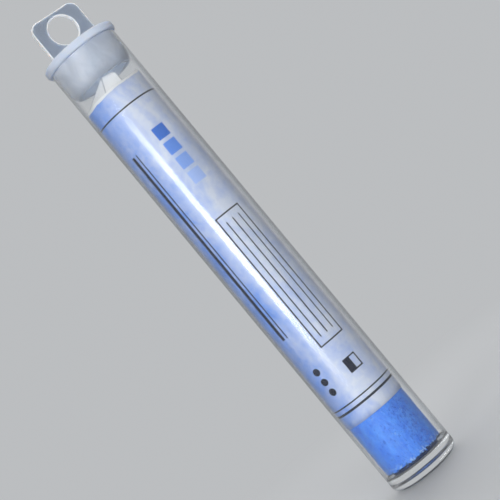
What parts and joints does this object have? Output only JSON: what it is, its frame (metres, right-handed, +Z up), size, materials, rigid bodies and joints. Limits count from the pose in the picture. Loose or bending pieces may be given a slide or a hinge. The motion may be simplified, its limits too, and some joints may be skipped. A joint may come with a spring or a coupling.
{
  "type": "oil paint stick",
  "caption": "Round stick of oil paint in a printed paper wrapper, inside a clear tube with a thick closed end and a pull-out stopper with a hanging tab.",
  "frame": {"origin": "centre of the tube's closed end, on the surface it stands on", "axes": "+Z up the tube's axis towards the stopper, +X across the hanging tab's width, +Y through the hanging hole"},
  "size_m": [0.0242, 0.024, 0.1673],
  "materials": {
    "clear_plastic": "clear gloss",
    "oil_colour": "waxy satin",
    "printed_paper": "smooth matte, printed outside and white inside",
    "milky_plastic": "satin translucent"
  },
  "bodies": {
    "tube": {"tube": "clear_plastic", "stick": "oil_colour", "wrapper": "printed_paper"},
    "stopper": {"stopper": "milky_plastic"}
  },
  "joints": [
    {"name": "stopper_pull", "type": "slide", "parent": "tube", "child": "stopper", "axis": [0, 0, 1], "range_m": [0, 0.02]}
  ]
}
